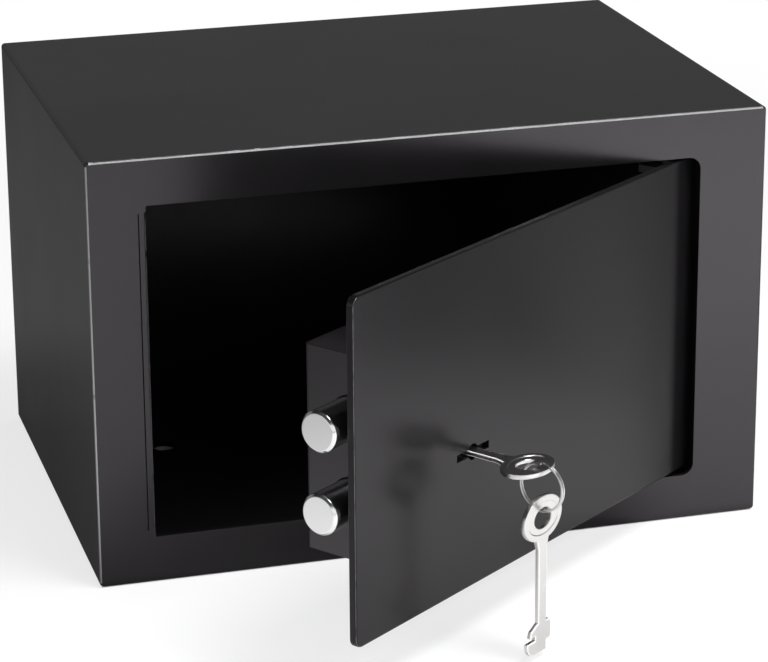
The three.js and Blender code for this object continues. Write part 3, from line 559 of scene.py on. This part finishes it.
def seam(bm):
    """The fine line between the front sheet and the catch strip that is welded flush beside it."""
    middle = OPENING_LEFT - BEND_RADIUS
    low, high = OPENING_BOTTOM + SEAM_END_INSET, OPENING_TOP - SEAM_END_INSET
    cuts = [((x, 0, 0), (1, 0, 0)) for x in (middle - SEAM_HALF, middle, middle + SEAM_HALF)]
    cuts += [((0, 0, z), (0, 0, 1)) for z in (low, low + SEAM_RUN_OUT, high - SEAM_RUN_OUT, high)]
    for place, normal in cuts:
        faces = front_faces(bm)
        geometry = faces + [e for f in faces for e in f.edges] + [v for f in faces for v in f.verts]
        bmesh.ops.bisect_plane(
            bm, geom=list(dict.fromkeys(geometry)), dist=ON_CUT * MM, plane_co=Vector(place) * MM,
            plane_no=normal,
        )
    for vert in bm.verts:
        x, y, z = vert.co / MM
        on_middle = abs(x - middle) < ON_LINE and abs(y - FRONT) < ON_LINE
        if on_middle and low + SEAM_RUN_OUT / 2 < z < high - SEAM_RUN_OUT / 2:
            vert.co.y += SEAM_DEPTH * MM


def dress_front():
    # Painted highlight lines go on the front's rounded arrises, brighter on the top and left
    bm = finer_edges(
        "front_frame", FRONT_ARRIS, highlight_edges=True, changes=(tighter_folds, tighter_catch, tighter_corners),
    )
    frame_highlights(bm)
    seam(bm)
    mesh_object(
        "front_frame_finished", bm, [body_paint, thin_arris_painted_highlight, top_arris_painted_highlight, left_arris_painted_highlight], "front_frame",
        sharp_from=SHEET_SHARP, square_to=Matrix.Identity(4),
    )


def dress_door():
    # A painted highlight line stays on the door's free edge
    bm = finer_edges("door_plate", FRONT_ARRIS, highlight_edges=True)
    door_edge_highlight(bm)
    mesh_object(
        "door_plate_finished", bm, [door_paint, thin_arris_painted_highlight], "door_plate",
        sharp_from=SHEET_SHARP, square_to=door_matrix(),
    )


def dress_plain_sheets():
    changes_of = {"body_shell": (tighter_folds,), "back_panel": (welded_in,), "lock_cover": ()}
    for node, changes in changes_of.items():
        bm = finer_edges(node, SHEET_ARRIS, changes=changes)
        mesh_object(f"{node}_finished", bm, [material_of(node)], node, sharp_from=SHEET_SHARP)


def dress_small_pieces():
    for node in sorted(nodes):
        if node.startswith(SMALL_PIECES):
            mesh_object(f"{node}_finished", finer_edges(node, SMALL_ARRIS), [material_of(node)], node)


# Round bolts

def lathe(profile, place):
    """Turns (radius, distance) points round the X axis, along which the profile runs."""
    bm = bmesh.new()
    rings = []
    for radius, along in profile:
        ring = []
        for step in range(ROUND_STEPS):
            turn = 2 * math.pi * step / ROUND_STEPS
            point = Vector((along, radius * math.cos(turn), radius * math.sin(turn)))
            ring.append(bm.verts.new(point * MM + place))
        rings.append(ring)
    join_rings(bm, rings)
    close_ends(bm, rings)
    return bm


def rounded(profile, corners, radius, steps=4):
    """Rounds the named corners of a profile of straight runs."""
    points = []
    for i, point in enumerate(profile):
        if i not in corners:
            points.append(point)
            continue
        here = Vector(point)
        before = (Vector(profile[i - 1]) - here).normalized() * radius
        after = (Vector(profile[(i + 1) % len(profile)]) - here).normalized() * radius
        for step in range(steps + 1):
            t = step / steps
            points.append(tuple(here + before * (1 - t) ** 2 + after * t ** 2))
    return points


def bolt_profile(radius, length):
    bore_end = length - BOLT_BORE_DEPTH
    runs = [
        (BOLT_END_DISC, 0), (radius - BOLT_CHAMFER, 0), (radius, BOLT_CHAMFER), (radius, length),
        (BOLT_BORE, length), (BOLT_BORE, bore_end), (BOLT_END_DISC, bore_end),
    ]
    outer_corners = (1, 2, 3)
    return rounded(runs, outer_corners, BOLT_ARRIS)


def dress_bolts():
    for node in ("round_bolt_upper", "round_bolt_lower"):
        low, high = box_of(node, door_matrix())
        end_middle = (low[0], (low[1] + high[1]) / 2, (low[2] + high[2]) / 2)
        profile = bolt_profile((high[2] - low[2]) / 2, high[0] - low[0])
        bm = lathe(profile, Vector(end_middle) * MM)
        mesh_object(f"{node}_turned", bm, [turned_steel], node, door_matrix(), TURNED_SHARP)


# Key, drawn flat: bow centre at the origin, shank along +Y, thickness along Z

def arc(centre_x, centre_y, radius, start, end, steps=6):
    points = []
    for step in range(steps + 1):
        turn = math.radians(start + (end - start) * step / steps)
        points.append((centre_x + radius * math.cos(turn), centre_y + radius * math.sin(turn)))
    return points


def blade_outline():
    half = SHANK_HALF_WIDTH
    tip = TIP_DISTANCE
    root = BOW_HALF_HEIGHT - BOW_RIM_WIDTH / 2
    neck_end = BOW_HALF_HEIGHT + NECK_LENGTH
    corner = SMALL_BIT_CORNER_RADIUS
    inner = SMALL_BIT_RADIUS - corner
    small_top = tip - SMALL_BIT_END
    small_end = tip - SMALL_BIT_START
    big = BIT_CORNER_RADIUS
    return [
        (NECK_HALF_WIDTH, root), (half, neck_end), (half, small_top),
        *arc(inner, small_top + corner, corner, -90, 0),
        *arc(inner, small_end - corner, corner, 0, 90),
        (half, small_end), (half, tip),
        *arc(big - BIT_RADIUS, tip - big, big, 90, 180, BIT_CORNER_STEPS),
        (-BIT_RADIUS, tip - BIT_TIP_LENGTH), (-BIT_CUT_RADIUS, tip - BIT_TIP_LENGTH),
        (-BIT_CUT_RADIUS, tip - BIT_CUT_END), (-BIT_SECOND_RADIUS, tip - BIT_CUT_END),
        (-BIT_SHOULDER_RADIUS, tip - BIT_SECOND_END), (-half, tip - BIT_LENGTH),
        (-half, neck_end), (-NECK_HALF_WIDTH, root),
    ]


def add_blade(bm):
    """The flat plate of neck, shank and bits, with the arrises of its two faces rounded."""
    verts = [bm.verts.new((x * MM, y * MM, -BLADE_THICKNESS / 2 * MM)) for x, y in blade_outline()]
    face = bm.faces.new(verts)
    result = bmesh.ops.extrude_face_region(bm, geom=[face])
    moved = [v for v in result["geom"] if isinstance(v, bmesh.types.BMVert)]
    bmesh.ops.translate(bm, verts=moved, vec=(0, 0, BLADE_THICKNESS * MM))
    edges = dict.fromkeys(e for v in verts + moved for e in v.link_edges)
    rims = [e for e in edges if abs(e.verts[0].co.z - e.verts[1].co.z) < BLADE_THICKNESS / 2 * MM]
    # The rounded arrises take slot 1, the key's painted highlight
    bmesh.ops.bevel(
        bm, geom=rims, offset=KEY_ARRIS * MM, segments=2, profile=0.5, affect="EDGES",
        clamp_overlap=True, material=1,
    )


def bow_profile():
    """(half width, half height, level) of each step across the bow, from its hole round to its hole."""
    high = KEY_THICKNESS / 2
    low = BOW_WEB_THICKNESS / 2

    def outer(inset, level):
        return BOW_HALF_WIDTH - inset, BOW_HALF_HEIGHT - inset, level

    def hole(grow, level):
        return BOW_HOLE_HALF_WIDTH + grow, BOW_HOLE_HALF_HEIGHT + grow, level

    upper = [
        outer(0, high - BOW_ARRIS), outer(BOW_ARRIS_MIDDLE, high - BOW_ARRIS_MIDDLE),
        outer(BOW_ARRIS, high), outer(BOW_RIM_WIDTH - BOW_RIM_SLOPE, high),
        outer(BOW_RIM_WIDTH + BOW_RIM_SLOPE, low),
        hole(BOW_HOLE_ARRIS, low), hole(0, low - BOW_HOLE_ARRIS),
    ]
    lower = [(a, b, -level) for a, b, level in reversed(upper)]
    return upper + lower


def key_mesh():
    bm = bmesh.new()
    rings = []
    for half_width, half_height, level in bow_profile():
        ring = []
        for step in range(ROUND_STEPS):
            turn = 2 * math.pi * step / ROUND_STEPS
            place = (half_width * math.cos(turn), half_height * math.sin(turn), level)
            ring.append(bm.verts.new(Vector(place) * MM))
        rings.append(ring)
    join_rings(bm, rings + rings[:1])
    add_blade(bm)
    return bm


def key_matrix():
    """The middle of the first key's bow, half the bow's height behind its front end."""
    low, high = box_of("key", door_matrix())
    bow_middle = ((low[0] + high[0]) / 2, low[1] + BOW_HALF_HEIGHT, (low[2] + high[2]) / 2)
    return door_matrix() @ Matrix.Translation(Vector(bow_middle) * MM)


def ring_matrix():
    rim = (BOW_HALF_HEIGHT + BOW_HOLE_HALF_HEIGHT) / 2
    return key_matrix() @ Matrix.Translation(Vector((0, -rim, KEY_THICKNESS / 2 - RING_DROP)) * MM)


def spare_matrix():
    drop = Vector((0, 0, -RING_RADIUS - SPARE_DROP)) * MM
    return ring_matrix() @ Matrix.Translation(drop) @ Matrix.Rotation(-math.pi / 2, 4, "X")


def smoothstep(value, low, high):
    t = min(max((value - low) / (high - low), 0), 1)
    return t * t * (3 - 2 * t)


def squared(value):
    """Draws a cosine or sine out, so that the round wire is a little flattened."""
    return math.copysign(abs(value) ** RING_WIRE_SQUARENESS, value)


def ring_mesh():
    bm = bmesh.new()
    rings = []
    for step in range(RING_STEPS + 1):
        degrees = RING_TURN * step / RING_STEPS
        turn = math.radians(degrees)
        shift = (smoothstep(degrees, *RING_STEP_OVER) - 0.5) * RING_PITCH
        outward = Vector((0, math.sin(turn), math.cos(turn)))
        centre = outward * RING_RADIUS + Vector((shift, 0, 0))
        ring = []
        for side in range(RING_WIRE_SIDES):
            angle = 2 * math.pi * side / RING_WIRE_SIDES
            radial = squared(math.cos(angle)) * RING_WIRE_RADIAL / 2
            axial = squared(math.sin(angle)) * RING_WIRE_AXIAL / 2
            point = centre + outward * radial + Vector((axial, 0, 0))
            ring.append(bm.verts.new(point * MM))
        rings.append(ring)
    join_rings(bm, rings)
    close_ends(bm, rings)
    return bm


def dress_keys():
    # The keys' second slot is the painted highlight on their rounded arrises
    finishes = [nickel, key_edge_highlight]
    mesh_object("key_finished", key_mesh(), finishes, "key", key_matrix(), TURNED_SHARP)
    mesh_object("spare_key_finished", key_mesh(), finishes, "spare_key", spare_matrix(), TURNED_SHARP)
    mesh_object("split_ring_finished", ring_mesh(), [nickel], "split_ring", ring_matrix(), SHEET_SHARP)


dress_front()
dress_door()
dress_plain_sheets()
dress_small_pieces()
dress_bolts()
dress_keys()


# Studio: shares of white, and where the floor's painted shade changes, in metres from the safe's middle

WHITE = (1, 1, 1, 1)
FLOOR_HALF_SIZE = 3
FLOOR_DROP = 0.0005
FLOOR_ALBEDO = 0.9
BACK_SHADE = 0.2
LEFT_SHADE = 0.5
BESIDE_SHADE = 0.95
FAR_SHADE = 0.25
NEAR_SHADE = 0.78
LAMP_SIDE_SHADE = 0.78
CLOSE_SHADE = 0.5
SHADOW_SHARE = 0.35
BACK_SLANT = 0.045
BACK_STEP = (-0.12, -0.092)
LEFT_STEP = (-0.5, -0.12)
RIGHT_STEP = (-0.12, -0.02)
FAR_STEP = (0.2, 0.36)
FRONT_STEP = (-0.29, -0.255)
DOOR_SIDE_STEP = (-0.155, -0.12)
CLOSE_STEP = (-0.19, -0.11)
OPEN_SIDE_STEP = (0.04, 0.12)
LAMP_SIDE_STEP = (-0.02, 0.16)
SHADOW_STEP = (0.35, 0.8)
SHELTER_INSET = 0.001

# Studio world: the parts of a direction over which its light changes, and the light's two levels
STUDIO_ACROSS = (-0.35, 0.45)
STUDIO_ACROSS_LEVELS = (0.85, 0.16)
STUDIO_ABOVE = (0.37, 0.52)
STUDIO_ABOVE_LEVELS = (1, 0.08)


def floor_axes(tree):
    place = tree.nodes.new("ShaderNodeTexCoord")
    split = tree.nodes.new("ShaderNodeSeparateXYZ")
    tree.links.new(place.outputs["Object"], split.inputs["Vector"])
    return split.outputs["X"], split.outputs["Y"]


def painted_floor_shade(tree):
    """Painted shade on the floor, for what the glossy coat mirrors and for bounced light: pale before the
    safe, greyer beside it and dark behind.
    """
    x, y = floor_axes(tree)
    slanted = math_node(tree, "SUBTRACT", y, math_node(tree, "MULTIPLY", x, BACK_SLANT))
    back = soft_step(tree, slanted, BACK_STEP, 1, BACK_SHADE)
    left = soft_step(tree, x, LEFT_STEP, LEFT_SHADE, 1)
    right = soft_step(tree, x, RIGHT_STEP, 1, 0)
    far = soft_step(tree, x, FAR_STEP, BESIDE_SHADE, FAR_SHADE)
    front = soft_step(tree, y, FRONT_STEP, 1, 0)
    door_side = soft_step(tree, y, DOOR_SIDE_STEP, 0, NEAR_SHADE)
    beside = math_node(tree, "MAXIMUM", math_node(tree, "MAXIMUM", right, front), far)
    beside = math_node(tree, "MAXIMUM", beside, door_side)
    close = soft_step(tree, y, CLOSE_STEP, 1, CLOSE_SHADE)
    open_side = soft_step(tree, x, OPEN_SIDE_STEP, 0, 1)
    near = math_node(tree, "MAXIMUM", close, open_side)
    lamp_side = soft_step(tree, x, LAMP_SIDE_STEP, LAMP_SIDE_SHADE, 1)
    sides = math_node(tree, "MULTIPLY", left, lamp_side)
    before = math_node(tree, "MULTIPLY", math_node(tree, "MULTIPLY", beside, near), sides)
    return math_node(tree, "MINIMUM", back, before)


def under_the_safe(tree):
    """1 on the floor that the body stands on, which no lamp reaches, and 0 round it."""
    inside = []
    for axis, size in zip(floor_axes(tree), (BODY_WIDTH, BODY_DEPTH)):
        reach = math_node(tree, "ABSOLUTE", axis, 0)
        inside.append(math_node(tree, "LESS_THAN", reach, size / 2 * MM - SHELTER_INSET))
    return math_node(tree, "MULTIPLY", *inside)


def floor_material():
    """White to the camera, with a soft shadow near the safe; to everything else the floor with its painted
    shade.
    """
    material = bpy.data.materials.new("floor_white")
    material.use_nodes = True
    tree = material.node_tree
    tree.nodes.clear()
    output = tree.nodes.new("ShaderNodeOutputMaterial")
    mirrored = tree.nodes.new("ShaderNodeBsdfDiffuse")
    # The floor's colour to reflections and bounced light carries its painted shade
    tree.links.new(
        colour_mix(tree, painted_floor_shade(tree), (0, 0, 0), (FLOOR_ALBEDO,) * 3), mirrored.inputs["Color"],
    )
    seen = tree.nodes.new("ShaderNodeBsdfDiffuse")
    seen.inputs["Color"].default_value = WHITE
    white = tree.nodes.new("ShaderNodeEmission")
    white.inputs["Strength"].default_value = 1
    soft = tree.nodes.new("ShaderNodeMixShader")
    place = tree.nodes.new("ShaderNodeTexCoord")
    reach = tree.nodes.new("ShaderNodeVectorMath")
    reach.operation = "LENGTH"
    tree.links.new(place.outputs["Object"], reach.inputs[0])
    near = soft_step(tree, reach.outputs["Value"], SHADOW_STEP, SHADOW_SHARE, 0)
    share = math_node(tree, "MAXIMUM", under_the_safe(tree), near)
    tree.links.new(share, soft.inputs["Fac"])
    tree.links.new(white.outputs["Emission"], soft.inputs[1])
    tree.links.new(seen.outputs["BSDF"], soft.inputs[2])
    path = tree.nodes.new("ShaderNodeLightPath")
    mix = tree.nodes.new("ShaderNodeMixShader")
    tree.links.new(path.outputs["Is Camera Ray"], mix.inputs["Fac"])
    tree.links.new(mirrored.outputs["BSDF"], mix.inputs[1])
    tree.links.new(soft.outputs["Shader"], mix.inputs[2])
    tree.links.new(mix.outputs["Shader"], output.inputs["Surface"])
    return material


def studio_floor():
    bm = bmesh.new()
    bmesh.ops.create_grid(bm, x_segments=1, y_segments=1, size=FLOOR_HALF_SIZE)
    mesh = bpy.data.meshes.new("floor")
    bm.to_mesh(mesh)
    bm.free()
    obj = bpy.data.objects.new("floor", mesh)
    obj.location = (0, 0, -FLOOR_DROP)
    bpy.context.scene.collection.objects.link(obj)
    mesh.materials.append(floor_material())


def studio_world():
    """White to the camera; to everything else a studio that is bright in front and dim behind."""
    world = bpy.data.worlds.new("studio")
    bpy.context.scene.world = world
    world.use_nodes = True
    tree = world.node_tree
    tree.nodes.clear()
    output = tree.nodes.new("ShaderNodeOutputWorld")
    place = tree.nodes.new("ShaderNodeTexCoord")
    split = tree.nodes.new("ShaderNodeSeparateXYZ")
    tree.links.new(place.outputs["Generated"], split.inputs["Vector"])
    across = soft_step(tree, split.outputs["Y"], STUDIO_ACROSS, *STUDIO_ACROSS_LEVELS)
    above = soft_step(tree, split.outputs["Z"], STUDIO_ABOVE, *STUDIO_ABOVE_LEVELS)
    light = tree.nodes.new("ShaderNodeBackground")
    light.inputs["Color"].default_value = WHITE
    tree.links.new(math_node(tree, "MULTIPLY", across, above), light.inputs["Strength"])
    white = tree.nodes.new("ShaderNodeBackground")
    white.inputs["Color"].default_value = WHITE
    white.inputs["Strength"].default_value = 1
    path = tree.nodes.new("ShaderNodeLightPath")
    mix = tree.nodes.new("ShaderNodeMixShader")
    tree.links.new(path.outputs["Is Camera Ray"], mix.inputs["Fac"])
    tree.links.new(light.outputs["Background"], mix.inputs[1])
    tree.links.new(white.outputs["Background"], mix.inputs[2])
    tree.links.new(mix.outputs["Shader"], output.inputs["Surface"])


def area_light(name, place, target, size, power, mirrored=False):
    data = bpy.data.lights.new(name, "AREA")
    data.shape = "RECTANGLE"
    data.size, data.size_y = size
    data.energy = power
    obj = bpy.data.objects.new(name, data)
    obj.location = place
    obj.rotation_euler = (Vector(target) - Vector(place)).to_track_quat("-Z", "Y").to_euler()
    obj.visible_glossy = mirrored
    bpy.context.scene.collection.objects.link(obj)


def studio_lights():
    safe = (0, 0, 0.08)
    area_light("overhead_softbox", (0.3, -0.455, 1.23), (0, -0.1, 0.1), (0.5, 0.4), power=8, mirrored=True)
    area_light("ceiling_softbox", (0, -0.3, 1.6), (0, -0.1, 0), (1.6, 1.6), power=14)
    area_light("right_softbox", (1.3, -1.1, 0.9), safe, (1, 1), power=7)
    area_light("table_lamp", (0.4, -0.6, 0.45), (0.36, -0.55, 0), (0.3, 0.3), power=2.2)
    area_light("left_softbox", (-1.2, -0.9, 0.9), safe, (1, 1), power=8)


def studio_camera():
    data = bpy.data.cameras.new("camera")
    data.sensor_width = SENSOR
    data.lens = SENSOR * FOCAL_PIXELS / IMAGE_WIDTH
    data.shift_y = (PRINCIPAL_ROW - IMAGE_HEIGHT / 2) / IMAGE_WIDTH
    data.clip_start = CLIP_START
    obj = bpy.data.objects.new("camera", data)
    turn = Matrix.Rotation(math.radians(-CAMERA_YAW), 4, "Z")
    tilt = Matrix.Rotation(math.radians(90 + CAMERA_PITCH), 4, "X")
    roll = Matrix.Rotation(math.radians(CAMERA_ROLL), 4, "Z")
    obj.matrix_world = Matrix.Translation(CAMERA_PLACE) @ turn @ tilt @ roll
    bpy.context.scene.collection.objects.link(obj)
    bpy.context.scene.camera = obj


studio_floor()
studio_world()
studio_lights()
studio_camera()

bpy.context.scene.view_settings.view_transform = "Standard"
